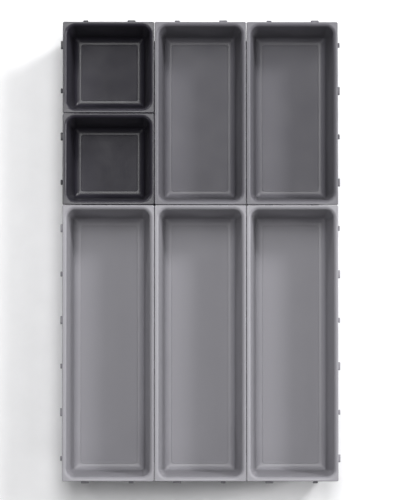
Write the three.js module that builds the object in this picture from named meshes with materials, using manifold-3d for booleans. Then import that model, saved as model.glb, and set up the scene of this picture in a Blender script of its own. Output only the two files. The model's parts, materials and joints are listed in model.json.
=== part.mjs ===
// Drawer organizer insert: seven open storage bins on a square module, laid out in three columns.
// Each bin is one moulded tray with a rolled rim, drafted walls, and rows of pegs and sockets under
// the rim that plug into the bins beside it. A soft liner lies in each floor, and four rubber feet
// sit in recesses underneath.
// Millimetres. +X to the right, +Y to the rear, +Z up. The feet stand on z = 0, and the origin is
// under the middle of the whole layout.

import * as THREE from 'three';
import { mergeVertices } from 'three/addons/utils/BufferGeometryUtils.js';
import Module from 'manifold-3d';

const wasm = await Module();
wasm.setup();

// Module and overall height
const UNIT = 76.2;              // pitch of the square module
const RIM_CLEARANCE = 0.4;      // gap between the rims of two neighbouring bins
const HEIGHT = 50.8;            // feet to rim

// Rim: narrow flat land on top, rounded down into the inner wall, standing out beyond the outer wall
const RIM_LAND = 0.8;
const RIM_EDGE = 0.35;          // small chamfer on the rim's outer top edge
const RIM_ROUND = 3.0;          // radius from the land into the inner wall
const RIM_DEPTH = 2.6;
const RIM_CORNER = 1.2;         // plan radius of the rim's outer corners

// Walls and floor; insets are measured inwards from the rim's outer edge
const WALL = 1.8;
const DRAFT_INSET = 4.5;        // how far the walls lean in between rim and floor
const FLOOR = 2.4;
const FLOOR_FILLET = 5.4;
const MOUTH_CORNER = 6.5;       // plan radius of the inner corners at the rim
const FLOOR_CORNER = 2.0;       // plan radius of the inner corners at the floor
const CORNER_STEPS = 4;

// Liner lying in a shallow recess in the floor, with a rounded bead round its edge
const RECESS_INSET = 14.0;
const RECESS_DEPTH = 0.9;
const FIT_GAP = 0.3;            // gap between any two pieces that meet
const LINER_PROUD = 0.1;        // liner's face above the tray's floor
const LINER_BEAD = 0.4;         // bead above the liner's face
const LINER_BEAD_WIDTH = 1.3;

// Feet
const GROUND_CLEARANCE = 1.0;   // underside of the tray above the surface it stands on
const FOOT_RADIUS = 4.5;
const FOOT_TAPER = 0.3;
const FOOT_RECESS = 0.6;
const FOOT_INSET = 20.0;
const FOOT_SIDES = 14;

// Connectors: on every unit of every side, a socket a quarter unit to one side of the middle and a
// peg a quarter unit to the other, so that a peg always meets a socket
const CONNECTOR_Z = 43.4;
const CONNECTOR_REACH = 1.8;    // how far pegs and sockets stand out beyond the rim
const CONNECTOR_ROOT = 3.4;     // inset at which they end, inside the wall
const SOCKET_WIDTH = 6.6;
const SOCKET_HEIGHT = 6.2;
const SOCKET_CORNER = 1.2;
const PEG_WIDTH = 4.2;
const PEG_HEIGHT = 3.8;
const PEG_CORNER = 0.9;
const SOCKET_FLOOR = 1.8;       // inset of the socket's blind end
const PEG_TIP_BEVEL = 0.45;
const CURVE_STEPS = 3;          // straight steps in each fillet of the wall section

const FLOOR_TOP = GROUND_CLEARANCE + FLOOR;
const INNER_TOP_INSET = RIM_LAND + RIM_ROUND;
const INNER_FOOT_INSET = INNER_TOP_INSET + DRAFT_INSET;
const OUTER_FILLET = FLOOR_FILLET + WALL * 0.7;

const CHARCOAL = { body: 0x45454b, liner: 0x3b3b40 };
const MID_GREY = { body: 0x75757b, liner: 0x6b6b71 };
const LIGHT_GREY = { body: 0xa2a2a8, liner: 0x98989e };
const FOOT_COLOR = 0x2b2b2d;

// Columns run from left to right and rows from front to rear, counted in units
const BINS = [
  { name: 'middle_large_bin', column: 1, row: 0, units: 3, color: LIGHT_GREY },
  { name: 'left_large_bin', column: 0, row: 0, units: 3, color: LIGHT_GREY },
  { name: 'right_large_bin', column: 2, row: 0, units: 3, color: LIGHT_GREY },
  { name: 'middle_medium_bin', column: 1, row: 3, units: 2, color: MID_GREY },
  { name: 'right_medium_bin', column: 2, row: 3, units: 2, color: MID_GREY },
  { name: 'front_small_bin', column: 0, row: 3, units: 1, color: CHARCOAL },
  { name: 'rear_small_bin', column: 0, row: 4, units: 1, color: CHARCOAL },
];
const COLUMNS = 3;
const ROWS = 5;

// ---------------------------------------------------------------- helpers

// Corner points of a rounded rectangle, counter-clockwise, with the same count for any radius
function ring(width, length, inset, radius, z) {
  const points = [];
  const reachX = width / 2 - inset - radius;
  const reachY = length / 2 - inset - radius;
  for (let corner = 0; corner < 4; corner += 1) {
    const signX = corner === 0 || corner === 3 ? 1 : -1;
    const signY = corner < 2 ? 1 : -1;
    for (let step = 0; step <= CORNER_STEPS; step += 1) {
      const angle = (corner + step / CORNER_STEPS) * (Math.PI / 2);
      const x = signX * reachX + radius * Math.cos(angle);
      const y = signY * reachY + radius * Math.sin(angle);
      points.push(new THREE.Vector3(x, y, z));
    }
  }
  return points;
}

// Closed body through a stack of rings, with a flat cap on the first and on the last
function loft(rings) {
  const count = rings[0].length;
  const positions = rings.flat().flatMap((point) => point.toArray());
  const index = [];
  for (let level = 0; level + 1 < rings.length; level += 1) {
    for (let i = 0; i < count; i += 1) {
      const j = (i + 1) % count;
      const low = level * count;
      const high = low + count;
      index.push(low + i, low + j, high + j, low + i, high + j, high + i);
    }
  }
  const last = (rings.length - 1) * count;
  for (let i = 1; i + 1 < count; i += 1) {
    index.push(0, i + 1, i);
    index.push(last, last + i, last + i + 1);
  }
  const geometry = new THREE.BufferGeometry();
  geometry.setAttribute('position', new THREE.Float32BufferAttribute(positions, 3));
  geometry.setIndex(index);
  return geometry;
}

function toSolid(geometry) {
  const bare = geometry.clone();
  bare.deleteAttribute('normal');
  bare.deleteAttribute('uv');
  const merged = mergeVertices(bare, 1e-4);
  return new wasm.Manifold(new wasm.Mesh({
    numProp: 3,
    vertProperties: new Float32Array(merged.attributes.position.array),
    triVerts: new Uint32Array(merged.index.array),
  }));
}

function toGeometry(solid) {
  const mesh = solid.getMesh();
  const geometry = new THREE.BufferGeometry();
  geometry.setAttribute('position', new THREE.BufferAttribute(mesh.vertProperties, 3));
  geometry.setIndex(new THREE.BufferAttribute(mesh.triVerts, 1));
  geometry.computeVertexNormals();
  return geometry;
}

function roundedRectangle(width, height, radius) {
  const x = width / 2;
  const y = height / 2;
  const shape = new THREE.Shape();
  shape.moveTo(radius - x, -y);
  shape.lineTo(x - radius, -y);
  shape.quadraticCurveTo(x, -y, x, radius - y);
  shape.lineTo(x, y - radius);
  shape.quadraticCurveTo(x, y, x - radius, y);
  shape.lineTo(radius - x, y);
  shape.quadraticCurveTo(-x, y, -x, y - radius);
  shape.lineTo(-x, radius - y);
  shape.quadraticCurveTo(-x, -y, radius - x, -y);
  return shape;
}

// ---------------------------------------------------------------- connectors

// Both are made along +Z, with z = 0 at the rim's outer edge and the bin on the -Z side
function pegSolid() {
  const body = new THREE.ExtrudeGeometry(roundedRectangle(PEG_WIDTH, PEG_HEIGHT, PEG_CORNER), {
    depth: CONNECTOR_ROOT + CONNECTOR_REACH - 2 * PEG_TIP_BEVEL,
    curveSegments: 1,
    bevelThickness: PEG_TIP_BEVEL,
    bevelSize: PEG_TIP_BEVEL,
    bevelOffset: -PEG_TIP_BEVEL,
    bevelSegments: 1,
  });
  body.translate(0, 0, PEG_TIP_BEVEL - CONNECTOR_ROOT);
  return toSolid(body);
}

function socketSolid() {
  const options = { curveSegments: 1, bevelEnabled: false };
  const outline = roundedRectangle(SOCKET_WIDTH, SOCKET_HEIGHT, SOCKET_CORNER);
  const boss = new THREE.ExtrudeGeometry(outline, { ...options, depth: CONNECTOR_ROOT + CONNECTOR_REACH });
  boss.translate(0, 0, -CONNECTOR_ROOT);
  const mouth = roundedRectangle(PEG_WIDTH + 2 * FIT_GAP, PEG_HEIGHT + 2 * FIT_GAP, PEG_CORNER + FIT_GAP);
  const hole = new THREE.ExtrudeGeometry(mouth, { ...options, depth: SOCKET_FLOOR + 2 * CONNECTOR_REACH });
  hole.translate(0, 0, -SOCKET_FLOOR);
  return toSolid(boss).subtract(toSolid(hole));
}

// The four sides, each with its outward direction and its length in units
function sidesOf(units) {
  return [
    { turn: 0, reach: UNIT / 2, units },
    { turn: 1, reach: (units * UNIT) / 2, units: 1 },
    { turn: 2, reach: UNIT / 2, units },
    { turn: 3, reach: (units * UNIT) / 2, units: 1 },
  ];
}

// Seen from outside a side, each unit has its socket on the left and its peg on the right
function addConnectors(tray, units) {
  const peg = pegSolid();
  const socket = socketSolid();
  let result = tray;
  for (const side of sidesOf(units)) {
    const place = new THREE.Matrix4().makeRotationZ((side.turn * Math.PI) / 2);
    place.multiply(new THREE.Matrix4().makeTranslation(side.reach - RIM_CLEARANCE / 2, 0, CONNECTOR_Z));
    for (let unit = 0; unit < side.units; unit += 1) {
      const middle = (unit - (side.units - 1) / 2) * UNIT;
      for (const [solid, along] of [[socket, middle - UNIT / 4], [peg, middle + UNIT / 4]]) {
        const turned = new THREE.Matrix4().makeTranslation(0, along, 0);
        turned.multiply(new THREE.Matrix4().makeBasis(
          new THREE.Vector3(0, 1, 0),
          new THREE.Vector3(0, 0, 1),
          new THREE.Vector3(1, 0, 0),
        ));
        result = result.add(solid.transform(place.clone().multiply(turned).toArray()));
      }
    }
  }
  return result;
}

// ---------------------------------------------------------------- tray

// Plan radius of the inner wall's corners: concentric with the mouth, down to the floor's radius
function innerCorner(inset) {
  return Math.max(FLOOR_CORNER, MOUTH_CORNER + INNER_TOP_INSET - inset);
}

// Section through the wall, from the underside up the outside, over the rim and down to the floor.
// Each point is an inset and a height.
function wallSection() {
  const flangeZ = HEIGHT - RIM_DEPTH;
  const outerTop = INNER_TOP_INSET - WALL;
  const outerFoot = INNER_FOOT_INSET - WALL;
  const outside = new THREE.Path();
  outside.moveTo(outerFoot + OUTER_FILLET, GROUND_CLEARANCE);
  outside.quadraticCurveTo(outerFoot, GROUND_CLEARANCE, outerFoot, GROUND_CLEARANCE + OUTER_FILLET);
  outside.lineTo(outerTop, flangeZ);
  const rim = new THREE.Path();
  rim.moveTo(0, flangeZ);
  rim.lineTo(0, HEIGHT - RIM_EDGE);
  rim.lineTo(RIM_EDGE, HEIGHT);
  rim.lineTo(RIM_LAND, HEIGHT);
  const inside = new THREE.Path();
  inside.moveTo(RIM_LAND, HEIGHT);
  inside.quadraticCurveTo(INNER_TOP_INSET, HEIGHT, INNER_TOP_INSET, HEIGHT - RIM_ROUND);
  inside.lineTo(INNER_FOOT_INSET, FLOOR_TOP + FLOOR_FILLET);
  inside.quadraticCurveTo(INNER_FOOT_INSET, FLOOR_TOP, INNER_FOOT_INSET + FLOOR_FILLET, FLOOR_TOP);
  return {
    outside: outside.getPoints(CURVE_STEPS),
    rim: rim.getPoints(),
    inside: inside.getPoints(CURVE_STEPS).slice(1),
  };
}

function traySolid(width, length) {
  const section = wallSection();
  const rings = [
    ...section.outside.map((p) => ring(width, length, p.x, innerCorner(p.x + WALL) + WALL, p.y)),
    ...section.rim.slice(0, -1).map((p) => ring(width, length, p.x, RIM_CORNER - p.x / 2, p.y)),
    ring(width, length, RIM_LAND, innerCorner(RIM_LAND), HEIGHT),
    ...section.inside.map((p) => ring(width, length, p.x, innerCorner(p.x), p.y)),
    ring(width, length, RECESS_INSET, FLOOR_CORNER, FLOOR_TOP),
    ring(width, length, RECESS_INSET, FLOOR_CORNER, FLOOR_TOP - RECESS_DEPTH),
  ];
  return toSolid(loft(rings));
}

function footPlaces(width, length) {
  const x = width / 2 - FOOT_INSET;
  const y = length / 2 - FOOT_INSET;
  return [[-x, -y], [x, -y], [x, y], [-x, y]];
}

function shellGeometry(width, length, units) {
  let tray = addConnectors(traySolid(width, length), units);
  for (const [x, y] of footPlaces(width, length)) {
    const pocket = new THREE.CylinderGeometry(
      FOOT_RADIUS + FIT_GAP, FOOT_RADIUS + FIT_GAP, 2 * FOOT_RECESS, FOOT_SIDES);
    pocket.rotateX(Math.PI / 2);
    pocket.translate(x, y, GROUND_CLEARANCE);
    tray = tray.subtract(toSolid(pocket));
  }
  return toGeometry(tray);
}

// ---------------------------------------------------------------- liner and feet

function linerGeometry(width, length) {
  const inset = RECESS_INSET + FIT_GAP;
  const low = FLOOR_TOP - RECESS_DEPTH + FIT_GAP;
  const face = FLOOR_TOP + LINER_PROUD;
  const geometry = loft([
    ring(width, length, inset, FLOOR_CORNER, low),
    ring(width, length, inset, FLOOR_CORNER, face + LINER_BEAD / 2),
    ring(width, length, inset + 0.3 * LINER_BEAD_WIDTH, FLOOR_CORNER, face + LINER_BEAD),
    ring(width, length, inset + 0.5 * LINER_BEAD_WIDTH, FLOOR_CORNER, face + 0.75 * LINER_BEAD),
    ring(width, length, inset + LINER_BEAD_WIDTH, FLOOR_CORNER, face),
  ]);
  geometry.computeVertexNormals();
  return geometry;
}

function footGeometry() {
  const height = GROUND_CLEARANCE + FOOT_RECESS - FIT_GAP;
  const foot = new THREE.CylinderGeometry(FOOT_RADIUS, FOOT_RADIUS - FOOT_TAPER, height, FOOT_SIDES);
  foot.rotateX(Math.PI / 2);
  foot.translate(0, 0, height / 2);
  return foot;
}

// ---------------------------------------------------------------- assembly

function namedMesh(name, geometry, material) {
  const mesh = new THREE.Mesh(geometry, material);
  mesh.name = name;
  return mesh;
}

function makeBin(bin) {
  const width = UNIT - RIM_CLEARANCE;
  const length = bin.units * UNIT - RIM_CLEARANCE;
  const plastic = new THREE.MeshStandardMaterial({ color: bin.color.body, roughness: 0.55, metalness: 0 });
  const soft = new THREE.MeshStandardMaterial({ color: bin.color.liner, roughness: 0.85, metalness: 0 });
  const rubber = new THREE.MeshStandardMaterial({ color: FOOT_COLOR, roughness: 0.9, metalness: 0 });
  const group = new THREE.Group();
  group.add(namedMesh(`${bin.name}_tray`, shellGeometry(width, length, bin.units), plastic));
  group.add(namedMesh(`${bin.name}_liner`, linerGeometry(width, length), soft));
  footPlaces(width, length).forEach(([x, y], i) => {
    const foot = namedMesh(`${bin.name}_foot_${i + 1}`, footGeometry(), rubber);
    foot.position.set(x, y, 0);
    group.add(foot);
  });
  const x = (bin.column - (COLUMNS - 1) / 2) * UNIT;
  const y = (bin.row + bin.units / 2 - ROWS / 2) * UNIT;
  group.position.set(x, y, 0);
  return group;
}

const organizer = new THREE.Group();
for (const bin of BINS) {
  organizer.add(makeBin(bin));
}

export default organizer;
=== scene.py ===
import json
import math

import bmesh
import bpy
from mathutils import Matrix, Vector


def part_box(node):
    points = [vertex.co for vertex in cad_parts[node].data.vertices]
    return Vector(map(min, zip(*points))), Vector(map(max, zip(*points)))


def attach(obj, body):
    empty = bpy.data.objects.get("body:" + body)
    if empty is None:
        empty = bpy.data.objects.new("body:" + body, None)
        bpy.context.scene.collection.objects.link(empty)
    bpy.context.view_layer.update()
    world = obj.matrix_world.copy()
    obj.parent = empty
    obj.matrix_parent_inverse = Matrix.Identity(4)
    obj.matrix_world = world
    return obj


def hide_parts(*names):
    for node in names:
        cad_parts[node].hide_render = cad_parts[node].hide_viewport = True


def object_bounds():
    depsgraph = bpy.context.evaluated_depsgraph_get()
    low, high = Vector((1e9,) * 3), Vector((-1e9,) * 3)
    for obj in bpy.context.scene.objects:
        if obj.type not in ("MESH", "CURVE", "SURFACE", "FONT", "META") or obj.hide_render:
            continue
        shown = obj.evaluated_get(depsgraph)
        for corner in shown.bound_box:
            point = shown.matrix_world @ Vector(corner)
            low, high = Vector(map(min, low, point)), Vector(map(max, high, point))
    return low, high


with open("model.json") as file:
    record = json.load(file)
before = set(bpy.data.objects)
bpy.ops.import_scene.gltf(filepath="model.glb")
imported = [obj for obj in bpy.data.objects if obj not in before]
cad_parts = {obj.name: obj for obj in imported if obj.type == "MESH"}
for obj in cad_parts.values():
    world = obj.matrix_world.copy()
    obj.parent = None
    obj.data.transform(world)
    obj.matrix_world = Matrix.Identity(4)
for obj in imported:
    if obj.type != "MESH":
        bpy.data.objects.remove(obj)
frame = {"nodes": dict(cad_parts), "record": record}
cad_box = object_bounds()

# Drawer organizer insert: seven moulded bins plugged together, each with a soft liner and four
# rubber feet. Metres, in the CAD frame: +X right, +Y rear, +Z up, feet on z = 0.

MM = 0.001

# ---------------------------------------------------------------- driving sizes, in metres

UNIT = 76.2 * MM                # pitch of the square module
CONNECTOR_REACH = 1.8 * MM      # pegs and sockets beyond the rim
RIM_LAND = 0.8 * MM             # flat top of the rim
RIM_ROUND = 3.0 * MM            # its radius into the inner wall
RIM_DEPTH = 2.6 * MM
RIM_EDGE = 0.45 * MM
RIM_CORNER = 1.2 * MM
PARTING_STEP = 0.06 * MM        # fine step round the rim where the mould halves met
RIM_UNDER_FILLET = 0.8 * MM     # between the lip's underside and the outer wall
RIM_UNDER_EDGE = 0.2 * MM

WALL = 1.8 * MM
WALL_LEAN = math.radians(6.36)  # from upright
FLOOR = 2.4 * MM
GROUND_CLEARANCE = 1.0 * MM
FLOOR_FILLET = 5.4 * MM
OUTER_FILLET = 6.66 * MM
MOUTH_CORNER = 6.5 * MM
FLOOR_CORNER = 2.0 * MM

RECESS_INSET = 14.0 * MM        # from the rim's edge to the recess for the liner
RECESS_DEPTH = 0.9 * MM
RECESS_EDGE = 0.08 * MM
LINER_GAP = 0.07 * MM
LINER_PROUD = 0.1 * MM
LINER_BEAD = 0.13 * MM          # height of the rounded bead round the liner's edge
LINER_BEAD_WIDTH = 1.3 * MM

FOOT_RADIUS = 4.5 * MM
FOOT_POCKET_RADIUS = 4.8 * MM
FOOT_RECESS = 0.6 * MM
FOOT_INSET = 20.0 * MM
GATE_RADIUS, GATE_DEPTH = 6.0 * MM, 0.35 * MM   # shallow well in the middle of the underside
CUT_EDGE = 0.15 * MM            # bevel at the bottom of a pocket or well
AIR = 0.05 * MM                 # left under a liner, above a foot and under the feet

CONNECTOR_ROOT = 3.4 * MM       # inset at which pegs and sockets end, inside the wall
CONNECTOR_Z = 43.4 * MM
PEG_WIDTH, PEG_HEIGHT = 4.2 * MM, 3.8 * MM
SOCKET_WIDTH, SOCKET_HEIGHT = 6.6 * MM, 6.2 * MM
HOLE_WIDTH, HOLE_HEIGHT = 4.8 * MM, 4.4 * MM
HOLE_FLOOR = 1.8 * MM           # how far behind the rim's edge a socket's hole ends
CORNER_STEPS = 10               # segments in a quarter turn of a tray's or a liner's corner
SMALL_CORNER_STEPS = 5          # and of a peg's or a socket's corner

INNER_TOP_INSET = RIM_LAND + RIM_ROUND
OUTER_TOP_INSET = INNER_TOP_INSET - WALL
FLOOR_TOP = GROUND_CLEARANCE + FLOOR

# ---------------------------------------------------------------- what the frame says

record = frame["record"]
slot_of = {part["node"]: part["material_slot"] for part in record["subparts"]}
body_of = {node: body for body, nodes in record["behaviour"]["bodies"].items() for node in nodes}
slot_color = {material["slot"]: material["base_color"] for material in record["materials"]}
RIM_Z = cad_box[1].z

# ---------------------------------------------------------------- mesh helpers


def arc(centre, radius, start, end, steps):
    """Points of a section's arc, as (inset, height); angles in degrees, inset to the right."""
    points = []
    for i in range(steps + 1):
        angle = math.radians(start + (end - start) * i / steps)
        points.append((centre[0] + radius * math.cos(angle), centre[1] + radius * math.sin(angle)))
    return points


def ring(half_x, half_y, radius, z, steps=CORNER_STEPS):
    """A rounded rectangle about the origin, counter-clockwise from above."""
    points = []
    for corner in range(4):
        sign_x = 1 if corner in (0, 3) else -1
        sign_y = 1 if corner < 2 else -1
        for i in range(steps + 1):
            angle = (corner + i / steps) * math.pi / 2
            x = sign_x * (half_x - radius) + radius * math.cos(angle)
            y = sign_y * (half_y - radius) + radius * math.sin(angle)
            points.append(Vector((x, y, z)))
    return points


def disc(radius, z, steps=4 * CORNER_STEPS):
    """A circle about the origin, counter-clockwise from above."""
    angles = [i / steps * 2 * math.pi for i in range(steps)]
    return [Vector((radius * math.cos(angle), radius * math.sin(angle), z)) for angle in angles]


def add_loft(mesh, rings, place=None):
    """Adds a closed body through a stack of rings, capped at both ends, to a bmesh."""
    place = place or Matrix.Identity(4)
    levels = [[mesh.verts.new(place @ point) for point in points] for points in rings]
    count = len(levels[0])
    for low, high in zip(levels, levels[1:]):
        for i in range(count):
            j = (i + 1) % count
            mesh.faces.new((low[i], low[j], high[j], high[i]))
    mesh.faces.new(list(reversed(levels[0])))
    mesh.faces.new(levels[-1])


def mesh_object(name, mesh):
    """A new object that takes over a bmesh."""
    data = bpy.data.meshes.new(name)
    mesh.to_mesh(data)
    mesh.free()
    obj = bpy.data.objects.new(name, data)
    bpy.context.collection.objects.link(obj)
    return obj


def bake_modifiers(obj):
    """Replaces the object's mesh by what its modifiers make of it."""
    depsgraph = bpy.context.evaluated_depsgraph_get()
    made = bpy.data.meshes.new_from_object(obj.evaluated_get(depsgraph))
    old = obj.data
    obj.modifiers.clear()
    obj.data = made
    made.name = obj.name
    bpy.data.meshes.remove(old)


def combine(obj, other, operation):
    """Joins the other object to this one, or cuts it from this one, and uses it up."""
    modifier = obj.modifiers.new("combine", "BOOLEAN")
    modifier.operation = operation
    modifier.solver = "EXACT"
    modifier.object = other
    bake_modifiers(obj)
    spent = other.data
    bpy.data.objects.remove(other)
    bpy.data.meshes.remove(spent)


def smooth(obj, angle=32):
    """Smooth shading that keeps edges sharper than the angle, with flat faces staying flat."""
    data = obj.data
    data.polygons.foreach_set("use_smooth", [True] * len(data.polygons))
    data.set_sharp_from_angle(angle=math.radians(angle))
    weighted = obj.modifiers.new("weighted", "WEIGHTED_NORMAL")
    weighted.keep_sharp = True
    bake_modifiers(obj)


# ---------------------------------------------------------------- materials

PATCH_SCALE = 45.0              # soft patches per metre
PATCH_CONTRAST = 0.045          # how much darker and lighter they are


def node(tree, kind, at=(0, 0), **sockets):
    """A new node at a place in the tree, with its input sockets set: a_b sets the socket "A B"."""
    made = tree.nodes.new(kind)
    made.location = at
    for name, value in sockets.items():
        made.inputs[name.replace("_", " ").title()].default_value = value
    return made


def shade(color, factor):
    """The colour made darker or lighter, with full alpha."""
    return [channel * factor for channel in color[:3]] + [1.0]


def surface(name, color, roughness, spread, grain, relief, specular):
    """A moulded surface: a fine grain in the relief, and soft patches in tone and gloss.

    spread is how far the roughness goes either way, grain the size of the texture's grains and
    relief their height, both in metres."""
    material = bpy.data.materials.new(name)
    material.use_nodes = True
    tree = material.node_tree
    tree.nodes.clear()
    output = node(tree, "ShaderNodeOutputMaterial", (900, 0))
    shader = node(tree, "ShaderNodeBsdfPrincipled", (600, 0))
    shader.inputs["Specular IOR Level"].default_value = specular
    tree.links.new(shader.outputs["BSDF"], output.inputs["Surface"])
    place = node(tree, "ShaderNodeTexCoord", (-900, 0))

    patches = node(
        tree, "ShaderNodeTexNoise", (-600, 300), scale=PATCH_SCALE, detail=3.0, roughness=0.55,
    )
    tree.links.new(place.outputs["Object"], patches.inputs["Vector"])
    tone = node(tree, "ShaderNodeMix", (200, 300))
    tone.data_type = "RGBA"
    tone.inputs["A"].default_value = shade(color, 1 - PATCH_CONTRAST)
    tone.inputs["B"].default_value = shade(color, 1 + PATCH_CONTRAST)
    tree.links.new(patches.outputs["Fac"], tone.inputs["Factor"])
    tree.links.new(tone.outputs["Result"], shader.inputs["Base Color"])

    gloss = node(tree, "ShaderNodeMapRange", (200, 0))
    gloss.inputs["From Min"].default_value = 0.3
    gloss.inputs["From Max"].default_value = 0.7
    gloss.inputs["To Min"].default_value = roughness - spread
    gloss.inputs["To Max"].default_value = roughness + spread
    tree.links.new(patches.outputs["Fac"], gloss.inputs["Value"])
    tree.links.new(gloss.outputs["Result"], shader.inputs["Roughness"])

    grains = node(
        tree, "ShaderNodeTexNoise", (-600, -300), scale=1.0 / grain, detail=2.0, roughness=0.6,
    )
    tree.links.new(place.outputs["Object"], grains.inputs["Vector"])
    bump = node(tree, "ShaderNodeBump", (200, -300), strength=1.0, distance=relief)
    tree.links.new(grains.outputs["Fac"], bump.inputs["Height"])
    tree.links.new(bump.outputs["Normal"], shader.inputs["Normal"])
    return material


def make_materials():
    """One material per slot, each as (roughness, spread, grain, relief, specular)."""
    made = {}
    for slot, color in slot_color.items():
        if slot.endswith("_plastic"):
            roughness = 0.40 if slot == "charcoal_plastic" else 0.46
            finish = (roughness, 0.04, 0.45 * MM, 0.012 * MM, 0.47)
        elif slot.endswith("_liner"):
            finish = (0.62, 0.06, 0.7 * MM, 0.03 * MM, 0.4)
        else:
            finish = (0.8, 0.06, 0.5 * MM, 0.04 * MM, 0.3)
        made[slot] = surface(slot, color, *finish)
    return made


# ---------------------------------------------------------------- tray


def inner_corner(inset):
    """Plan radius of the inner wall's corners: concentric with the mouth, down to the floor's."""
    return max(FLOOR_CORNER, MOUTH_CORNER + INNER_TOP_INSET - inset)


def outer_corner(inset):
    """Plan radius of the outer wall's corners, a wall's thickness outside the inner ones."""
    return inner_corner(inset + WALL) + WALL


def rim_corner(inset):
    """Plan radius of the rim's own corners."""
    return RIM_CORNER - inset / 2


def fillet_centre(top, radius, base):
    """Centre of the fillet between a level at height base and the wall that leans in from top."""
    height = base + radius
    inset = top[0] + (top[1] - height) * math.tan(WALL_LEAN) + radius / math.cos(WALL_LEAN)
    return inset, height


def tray_section():
    """The wall's section as (inset, height, plan radius), from underside round to recess."""
    lean = math.degrees(WALL_LEAN)
    under = RIM_Z - RIM_DEPTH
    parting = RIM_Z - RIM_DEPTH / 2
    points = []

    outer_top = (OUTER_TOP_INSET, under - RIM_UNDER_FILLET)
    centre = fillet_centre(outer_top, OUTER_FILLET, GROUND_CLEARANCE)
    outside = arc(centre, OUTER_FILLET, 270, 180 + lean, 9)
    centre = (OUTER_TOP_INSET - RIM_UNDER_FILLET, outer_top[1])
    outside += arc(centre, RIM_UNDER_FILLET, 0, 90, 4)
    points += [(inset, z, outer_corner(inset)) for inset, z in outside]

    rim = arc((RIM_UNDER_EDGE, under + RIM_UNDER_EDGE), RIM_UNDER_EDGE, 270, 180, 3)
    rim += [(0, parting), (PARTING_STEP, parting + PARTING_STEP)]
    rim += arc((PARTING_STEP + RIM_EDGE, RIM_Z - RIM_EDGE), RIM_EDGE, 180, 90, 4)
    points += [(inset, z, rim_corner(inset)) for inset, z in rim]

    inside = arc((RIM_LAND, RIM_Z - RIM_ROUND), RIM_ROUND, 90, lean, 8)
    centre = fillet_centre(inside[-1], FLOOR_FILLET, FLOOR_TOP)
    inside += arc(centre, FLOOR_FILLET, 180 + lean, 270, 9)
    points += [(inset, z, inner_corner(inset)) for inset, z in inside]

    recess = arc((RECESS_INSET - RECESS_EDGE, FLOOR_TOP - RECESS_EDGE), RECESS_EDGE, 90, 0, 3)
    recess.append((RECESS_INSET, FLOOR_TOP - RECESS_DEPTH))
    points += [(inset, z, FLOOR_CORNER) for inset, z in recess]
    return points


def tray_body(name, half_x, half_y):
    """A tray without its connectors: one skin from the middle of the underside to the recess."""
    mesh = bmesh.new()
    section = tray_section()
    add_loft(mesh, [ring(half_x - x, half_y - x, radius, z) for x, z, radius in section])
    return mesh_object(name, mesh)


def sides(half_x, half_y, units):
    """The four sides as (quarter turns, distance of the rim's edge, number of units along it)."""
    return [(0, half_x, units), (1, half_y, 1), (2, half_x, units), (3, half_y, 1)]


def peg_rings():
    """A snap peg along +Z from its root: straight, a shallow neck, then a rounded head."""
    length = CONNECTOR_ROOT + CONNECTOR_REACH
    corner = 0.95 * MM
    steps = [
        (0.0, 0.0), (length - 1.9 * MM, 0.0), (length - 1.6 * MM, 0.22 * MM),
        (length - 1.3 * MM, 0.22 * MM), (length - 1.0 * MM, 0.0), (length - 0.55 * MM, 0.0),
        (length - 0.25 * MM, 0.12 * MM), (length - 0.07 * MM, 0.3 * MM), (length, 0.55 * MM),
    ]
    half_width, half_height = PEG_WIDTH / 2, PEG_HEIGHT / 2
    return [
        ring(half_width - pinch, half_height - pinch, corner - pinch / 2, z, SMALL_CORNER_STEPS)
        for z, pinch in steps
    ]


def socket_rings():
    """A socket along +Z from its root: outside up to the mouth, then down the blind hole."""
    length = CONNECTOR_ROOT + CONNECTOR_REACH
    end = CONNECTOR_ROOT - HOLE_FLOOR
    outer = [
        (0.0, 0.0), (length - 0.4 * MM, 0.0), (length - 0.12 * MM, 0.12 * MM), (length, 0.4 * MM),
    ]
    inner = [
        (length, -0.3 * MM), (length - 0.35 * MM, 0.0), (end + 0.3 * MM, 0.0), (end, 0.3 * MM),
    ]
    rings = []
    for steps, width, height, corner in (
        (outer, SOCKET_WIDTH, SOCKET_HEIGHT, 1.3 * MM),
        (inner, HOLE_WIDTH, HOLE_HEIGHT, 1.1 * MM),
    ):
        for z, pinch in steps:
            half_width, half_height = width / 2 - pinch, height / 2 - pinch
            rings.append(ring(half_width, half_height, corner - pinch / 2, z, SMALL_CORNER_STEPS))
    return rings


def connectors(half_x, half_y, units):
    """Every peg and socket of a bin, in one mesh, about the bin's own middle: one of each on
    every unit of every side, with the socket on the left as seen from outside."""
    mesh = bmesh.new()
    along_normal = Matrix(((0, 0, 1, 0), (1, 0, 0, 0), (0, 1, 0, 0), (0, 0, 0, 1)))
    for turn, reach, count in sides(half_x, half_y, units):
        side = Matrix.Rotation(turn * math.pi / 2, 4, "Z")
        for unit in range(count):
            middle = (unit - (count - 1) / 2) * UNIT
            for rings, along in (
                (socket_rings(), middle - UNIT / 4),
                (peg_rings(), middle + UNIT / 4),
            ):
                root = Vector((reach - CONNECTOR_ROOT, along, CONNECTOR_Z))
                add_loft(mesh, rings, side @ Matrix.Translation(root) @ along_normal)
    return mesh_object("connectors", mesh)


def foot_places(half_x, half_y):
    """Where the four feet stand, about the bin's own middle."""
    x = half_x - FOOT_INSET
    y = half_y - FOOT_INSET
    return [(-x, -y), (x, -y), (x, y), (-x, y)]


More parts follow.
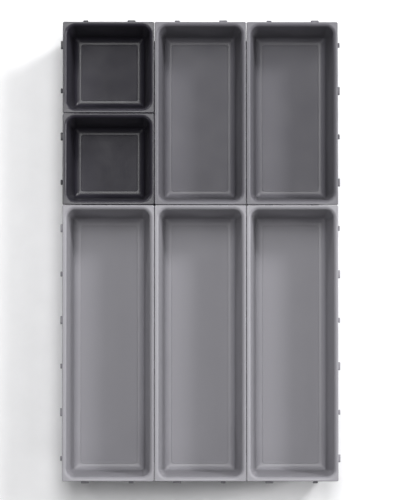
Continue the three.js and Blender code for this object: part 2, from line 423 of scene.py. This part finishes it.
def underside_cuts(half_x, half_y):
    """What is sunk into the underside: a pocket for each foot, and the shallow gate well."""
    mesh = bmesh.new()
    low = GROUND_CLEARANCE - 1.0 * MM       # well below the underside, for a clean cut
    wells = [(x, y, FOOT_POCKET_RADIUS, FOOT_RECESS) for x, y in foot_places(half_x, half_y)]
    wells.append((0.0, 0.0, GATE_RADIUS, GATE_DEPTH))
    for x, y, radius, depth in wells:
        top = GROUND_CLEARANCE + depth
        rings = [
            disc(radius, low),
            disc(radius, top - CUT_EDGE),
            disc(radius - CUT_EDGE, top),
        ]
        add_loft(mesh, rings, Matrix.Translation((x, y, 0)))
    return mesh_object("underside_cuts", mesh)


def make_tray(name, centre, half_x, half_y, units):
    tray = tray_body(name, half_x, half_y)
    combine(tray, connectors(half_x, half_y, units), "UNION")
    combine(tray, underside_cuts(half_x, half_y), "DIFFERENCE")
    tray.data.transform(Matrix.Translation((centre.x, centre.y, 0)))
    smooth(tray)
    return tray


# ---------------------------------------------------------------- liner and feet


def make_liner(name, centre, half_x, half_y):
    """A thin flat liner with a low bead round its edge that fades into the middle."""
    inset = RECESS_INSET + LINER_GAP
    low = FLOOR_TOP - RECESS_DEPTH + AIR
    high = FLOOR_TOP + LINER_PROUD
    outer = 0.3 * LINER_BEAD_WIDTH
    inner = LINER_BEAD_WIDTH - outer
    section = [(inset, low)]
    rise_steps, fall_steps = 4, 6
    for i in range(rise_steps + 1):
        angle = i / rise_steps * math.pi / 2
        x = inset + outer * (1 - math.cos(angle))
        section.append((x, high + LINER_BEAD * math.sin(angle)))
    for i in range(1, fall_steps + 1):
        fade = (1 + math.cos(i / fall_steps * math.pi)) / 2
        section.append((inset + outer + inner * i / fall_steps, high + LINER_BEAD * fade))
    mesh = bmesh.new()
    rings = [ring(half_x - x, half_y - x, FLOOR_CORNER, z) for x, z in section]
    add_loft(mesh, rings, Matrix.Translation((centre.x, centre.y, 0)))
    liner = mesh_object(name, mesh)
    smooth(liner)
    return liner


def make_foot(name, x, y):
    """A rubber foot with a rounded tread edge and a ring groove in the face it stands on."""
    top = GROUND_CLEARANCE + FOOT_RECESS - AIR
    tread = [
        (1.6, 0.35), (1.8, 0.32), (2.1, 0.05), (2.35, 0.0), (3.6, 0.0), (3.95, 0.06), (4.15, 0.22),
        (4.22, 0.4),
    ]
    profile = [(radius * MM, z * MM) for radius, z in tread]
    profile += [(FOOT_RADIUS, 1.2 * MM), (FOOT_RADIUS - 0.1 * MM, top)]
    mesh = bmesh.new()
    rings = [disc(radius, z) for radius, z in profile]
    add_loft(mesh, rings, Matrix.Translation((x, y, 0)))
    foot = mesh_object(name, mesh)
    smooth(foot, 45)
    return foot


# ---------------------------------------------------------------- the bins


def dress(piece, cad_node, materials):
    """Gives a piece its finish, and makes it stand for its CAD node and move with that body."""
    slot = slot_of[cad_node]
    piece.data.materials.clear()
    piece.data.materials.append(materials[slot])
    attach(piece, body_of[cad_node])
    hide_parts(cad_node)


def make_bin(bin_name, materials):
    """A bin's tray, liner and four feet, where the CAD has that bin's tray."""
    low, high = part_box(f"{bin_name}_tray")
    centre = (low + high) / 2
    half_x = (high.x - low.x) / 2 - CONNECTOR_REACH
    half_y = (high.y - low.y) / 2 - CONNECTOR_REACH
    units = round(2 * half_y / UNIT)
    tray = make_tray(f"{bin_name}.tray", centre, half_x, half_y, units)
    dress(tray, f"{bin_name}_tray", materials)
    liner = make_liner(f"{bin_name}.liner", centre, half_x, half_y)
    dress(liner, f"{bin_name}_liner", materials)
    for i, (x, y) in enumerate(foot_places(half_x, half_y), 1):
        foot = make_foot(f"{bin_name}.foot_{i}", centre.x + x, centre.y + y)
        dress(foot, f"{bin_name}_foot_{i}", materials)


# ---------------------------------------------------------------- stage, light and camera

SKY_COLOR = (0.93, 0.93, 0.94, 1)
LIGHT_COLOR = (0.97, 0.98, 1.0, 1)
STAGE_COLOR = (0.86, 0.86, 0.87)
STAGE_REACH = 6.0               # half the side of the floor
FADE_START, FADE_END = 0.45, 1.6        # where the floor begins and ends to fade into the sky


def fade_to_sky(material):
    """Lets the floor fade into the pale sky, for the camera only, where it runs past the lights."""
    tree = material.node_tree
    output = tree.nodes["Material Output"]
    shader = output.inputs["Surface"].links[0].from_socket
    place = node(tree, "ShaderNodeTexCoord", (300, -500))
    distance = node(tree, "ShaderNodeVectorMath", (500, -500))
    distance.operation = "LENGTH"
    tree.links.new(place.outputs["Object"], distance.inputs[0])
    fade = node(tree, "ShaderNodeMapRange", (700, -500))
    fade.interpolation_type = "SMOOTHSTEP"
    fade.inputs["From Min"].default_value = FADE_START
    fade.inputs["From Max"].default_value = FADE_END
    tree.links.new(distance.outputs["Value"], fade.inputs["Value"])
    path = node(tree, "ShaderNodeLightPath", (700, -800))
    seen = node(tree, "ShaderNodeMath", (900, -500))
    seen.operation = "MULTIPLY"
    tree.links.new(fade.outputs["Result"], seen.inputs[0])
    tree.links.new(path.outputs["Is Camera Ray"], seen.inputs[1])
    sky = node(tree, "ShaderNodeEmission", (900, -300), color=SKY_COLOR, strength=1.0)
    mix = node(tree, "ShaderNodeMixShader", (1100, 0))
    output.location = (1300, 0)
    tree.links.new(seen.outputs["Value"], mix.inputs[0])
    tree.links.new(shader, mix.inputs[1])
    tree.links.new(sky.outputs["Emission"], mix.inputs[2])
    tree.links.new(mix.outputs["Shader"], output.inputs["Surface"])


def make_floor():
    """A plain pale floor just below the feet."""
    mesh = bmesh.new()
    corners = [
        (-STAGE_REACH, -STAGE_REACH), (STAGE_REACH, -STAGE_REACH),
        (STAGE_REACH, STAGE_REACH), (-STAGE_REACH, STAGE_REACH),
    ]
    mesh.faces.new([mesh.verts.new((x, y, -AIR)) for x, y in corners])
    floor = mesh_object("floor", mesh)
    material = surface("floor", STAGE_COLOR, 0.6, 0.03, 2 * MM, 0.01 * MM, 0.2)
    fade_to_sky(material)
    floor.data.materials.append(material)


def area_light(name, place, size, power):
    """A round light that faces the object and isn't seen itself."""
    data = bpy.data.lights.new(name, "AREA")
    data.shape = "ELLIPSE"
    data.size = data.size_y = size
    data.energy = power
    light = bpy.data.objects.new(name, data)
    light.location = place
    light.rotation_euler = (-Vector(place)).to_track_quat("-Z", "Y").to_euler()
    light.visible_camera = False
    bpy.context.collection.objects.link(light)


def make_lights():
    """Soft lights round the object: (name, azimuth from +X, elevation, distance, width, power)."""
    for name, azimuth, elevation, distance, width, power in (
        ("right_low", 4, 20, 1.6, 0.4, 13.5),
        ("right_high", 0, 35, 2.0, 0.5, 2.0),
        ("key", 42, 38, 2.0, 0.4, 20.5),
        ("rear_high", 88, 64, 2.0, 1.0, 12.5),
        ("rear_low", 90, 10, 2.0, 0.5, 2.5),
        ("overhead", 100, 80, 2.0, 1.0, 18.5),
        ("rear_left_low", 135, 20, 2.0, 0.5, 8.0),
        ("front_left", 225, 32, 2.0, 0.5, 3.8),
        ("front_right", 315, 50, 2.0, 0.5, 3.4),
    ):
        turn, rise = math.radians(azimuth), math.radians(elevation)
        flat = distance * math.cos(rise)
        place = (flat * math.cos(turn), flat * math.sin(turn), distance * math.sin(rise))
        area_light(name, place, width, power)


def make_world():
    """A dim even sky that lights the object, and a pale one that the camera sees."""
    world = bpy.data.worlds.new("studio")
    bpy.context.scene.world = world
    world.use_nodes = True
    tree = world.node_tree
    tree.nodes.clear()
    output = node(tree, "ShaderNodeOutputWorld", (600, 0))
    seen = node(tree, "ShaderNodeBackground", (0, -200), color=SKY_COLOR, strength=1.0)
    light = node(tree, "ShaderNodeBackground", (0, 100), color=LIGHT_COLOR, strength=0.02)
    path = node(tree, "ShaderNodeLightPath", (0, 400))
    mix = node(tree, "ShaderNodeMixShader", (300, 0))
    tree.links.new(path.outputs["Is Camera Ray"], mix.inputs[0])
    tree.links.new(light.outputs[0], mix.inputs[1])
    tree.links.new(seen.outputs[0], mix.inputs[2])
    tree.links.new(mix.outputs[0], output.inputs["Surface"])


def make_camera():
    """Almost straight down from high above the front left, with the rear of the object upwards."""
    height = 2.75
    aim = Vector((5.5 * MM, 0.7 * MM, RIM_Z))
    place = aim + Vector((-28.0 * MM, -128.0 * MM, height))
    shown_height = 413.6 * MM
    data = bpy.data.cameras.new("camera")
    data.sensor_width = 36.0
    data.lens = data.sensor_width * (aim - place).length / shown_height
    data.clip_start, data.clip_end = 0.05, 60.0
    back = (place - aim).normalized()
    right = Vector((0, 1, 0)).cross(back).normalized()
    up = back.cross(right)
    camera = bpy.data.objects.new("camera", data)
    turn = Matrix((right, up, back)).transposed().to_4x4()
    camera.matrix_world = Matrix.Translation(place) @ turn
    bpy.context.collection.objects.link(camera)
    bpy.context.scene.camera = camera


# ---------------------------------------------------------------- build

bpy.context.scene.view_settings.view_transform = "Standard"
make_camera()
make_lights()
make_world()
make_floor()
bin_materials = make_materials()
for tray_node in sorted(name for name in frame["nodes"] if name.endswith("_tray")):
    make_bin(tray_node.removesuffix("_tray"), bin_materials)
